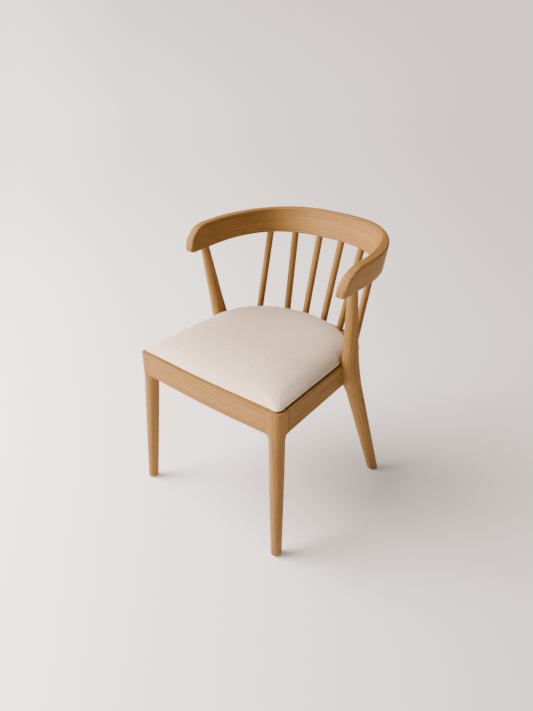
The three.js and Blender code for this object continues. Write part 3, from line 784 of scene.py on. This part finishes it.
def add_dust_cover():
    """Black cloth under the board: its edge folded in and stapled, its middle hanging a little."""
    rim, top = DUST["share"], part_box("dust_cover")[1][2]
    hem = rim - DUST["hem"] / PAD["front"][0]
    shares = [0.03] + [rim * i / 12 for i in range(1, 12)] + [hem - 0.004, hem, rim - 0.003]
    points = []
    for share in shares:
        points += [(x, y, top - cover_sag(share)) for x, y in scaled_outline(share)]
    for share in [rim] + shares[::-1]:
        thick = DUST["thick"] * (1.0 if share < hem else DUST["hem_layers"])
        points += [(x, y, top - cover_sag(share) - thick) for x, y in scaled_outline(share)]
    outline = scaled_outline(rim)
    cover = mesh_piece("dust_cover_cloth", points, skin_faces(2 * len(shares) + 1, len(outline)))
    finish_piece(cover, BLACK_CLOTH, "black_cloth", "dust_cover")
    staples = add_staples(top - DUST["hem_layers"] * DUST["thick"])


def cover_sag(share):
    return DUST["sag"] * (1 - min(share / DUST["share"], 1) ** 2) ** 2


def add_staples(height):
    """Crowns of the staples, set in the hem's middle and in line with it."""
    middle_line = scaled_outline(DUST["share"] - DUST["hem"] / 2 / PAD["front"][0])
    points, faces = [], []
    for k in range(STAPLE["count"]):
        i = int(k * len(middle_line) / STAPLE["count"])
        here, ahead = Vector(middle_line[i]), Vector(middle_line[(i + 1) % len(middle_line)])
        along = (ahead - here).normalized()
        across = Vector((-along.y, along.x))
        first = len(points)
        for down in (0.0, STAPLE["thick"]):
            half_length = STAPLE["half_length"] - 0.5 * down
            for end, side in ((-1, -1), (1, -1), (1, 1), (-1, 1)):
                corner = here + along * end * half_length + across * side * STAPLE["half_width"]
                points.append((corner.x, corner.y, height - down))
        box = [(0, 1, 2, 3), (7, 6, 5, 4), (0, 4, 5, 1), (1, 5, 6, 2), (2, 6, 7, 3), (3, 7, 4, 0)]
        faces += [tuple(first + corner for corner in face) for face in box]
    staples = mesh_piece("dust_cover_staples", points, faces)
    staples.data.materials.append(STEEL)
    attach(staples, "root")
    return staples


# ---------------------------------------------------------------- camera, light and studio
def add_camera():
    camera = bpy.data.objects.new("camera", bpy.data.cameras.new("camera"))
    bpy.context.collection.objects.link(camera)
    camera.location = CAMERA["place"]
    camera.rotation_euler = (radians(90 - CAMERA["pitch"]), 0, radians(CAMERA["azimuth"]))
    camera.data.lens = CAMERA["lens"]
    bpy.context.scene.camera = camera


def add_lamp(name, kind, direction, power):
    lamp = bpy.data.objects.new(name, bpy.data.lights.new(name, kind))
    bpy.context.collection.objects.link(lamp)
    lamp.rotation_euler = direction.to_track_quat("-Z", "Y").to_euler()
    lamp.data.energy = power
    lamp.data.color = WARM
    return lamp


def add_light():
    """A broad warm window to the chair's left and front, and a softer, even light from above it."""
    place = Vector(WINDOW["place"])
    window = add_lamp("window", "AREA", Vector(WINDOW["aim"]) - place, WINDOW["power"])
    window.location = place
    window.data.shape = "DISK"
    window.data.size = WINDOW["size"]
    sky = add_lamp("sky", "SUN", Vector(SKY["direction"]), SKY["strength"])
    sky.data.angle = SKY["spread"]
    world = bpy.data.worlds.new("studio")
    bpy.context.scene.world = world
    world.use_nodes = True
    background = world.node_tree.nodes["Background"]
    background.inputs["Color"].default_value = (*WARM, 1)
    background.inputs["Strength"].default_value = ROOM_GLOW


def add_backdrop():
    """A wide paper floor that curves up far behind the chair, with painted light: its colour and
    glow are brighter on the window's side.
    """
    flat, curve, count = BACKDROP["flat"], BACKDROP["curve"], BACKDROP["sides"]
    bends = [BACKDROP["bend"] * i / 16 for i in range(17)]
    profile = [(1, 0)] + [(flat + curve * sin(bend), curve * (1 - cos(bend))) for bend in bends]
    around = [(cos(2 * pi * k / count), sin(2 * pi * k / count)) for k in range(count)]
    points = [(radius * x, radius * y, up) for radius, up in profile for x, y in around]
    backdrop = mesh_piece("backdrop", points, skin_faces(len(profile), count)[:-1])
    n = Nodes("backdrop_paper")
    place = n.add("ShaderNodeTexCoord").outputs["Object"]
    x, y, _ = n.add("ShaderNodeSeparateXYZ", {0: place}).outputs
    # Painted light and shade: the paper's colour and glow fan out over the floor from a point in
    # front of the chair, bright on the window's side at the left and darker to the right, standing
    # in for the window's light falling off.
    turn = radians(CAMERA["azimuth"])
    across = n.math("ADD", n.math("MULTIPLY", x, cos(turn)), n.math("MULTIPLY", y, sin(turn)))
    ahead = n.math("SUBTRACT", n.math("MULTIPLY", y, cos(turn)), n.math("MULTIPLY", x, sin(turn)))
    away = n.math("MAXIMUM", n.math("ADD", ahead, BACKDROP["tone_start"]), 1.0)
    tone = n.math("ADD", n.math("MULTIPLY", n.math("DIVIDE", across, away), 1.5), 0.5, clamp=True)
    # Painted shade: the paper's colour darkens from left to right.
    n.set("Base Color", n.ramp(tone, (0.1, (0.90, 0.90, 0.90)), (0.9, (0.68, 0.68, 0.68))))
    n.set("Roughness", 0.85)
    n.set("Specular IOR Level", 0.15)
    # Painted light: the paper glows, most on the window's side and least to the right, though it is
    # no lamp.
    n.set("Emission Color", (*WARM, 1))
    n.set("Emission Strength", n.ramp(tone, (0.0, 1.2), (0.2, 0.60), (0.5, 0.30), (1.0, 0.05)))
    backdrop.data.materials.append(n.material)


# ---------------------------------------------------------------- CAD pieces that stay
def dress(names, material):
    for name in names:
        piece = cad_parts[name]
        piece.data.materials.clear()
        piece.data.materials.append(material)


def dress_cad_pieces():
    for side in ("right", "left"):
        dress([f"loose_tenon_lower_{side}", f"loose_tenon_upper_{side}"], BEECH)
        for end in ("front", "rear"):
            screws = [f"block_screw_{end}_a", f"block_screw_{end}_b", f"seat_screw_{end}"]
            dress([f"corner_block_{end}_{side}"], BEECH)
            dress([f"{screw}_{side}" for screw in screws], STEEL)
            dress([f"glide_{end}_{side}"], GLIDE_PLASTIC)
    dress(["seat_board"], PLYWOOD)


add_camera()
add_light()
add_backdrop()
add_front_legs()
add_rear_legs()
add_front_rail()
add_side_rails()
add_rear_rail()
add_bow()
add_spindles()
add_pad()
add_dust_cover()
dress_cad_pieces()
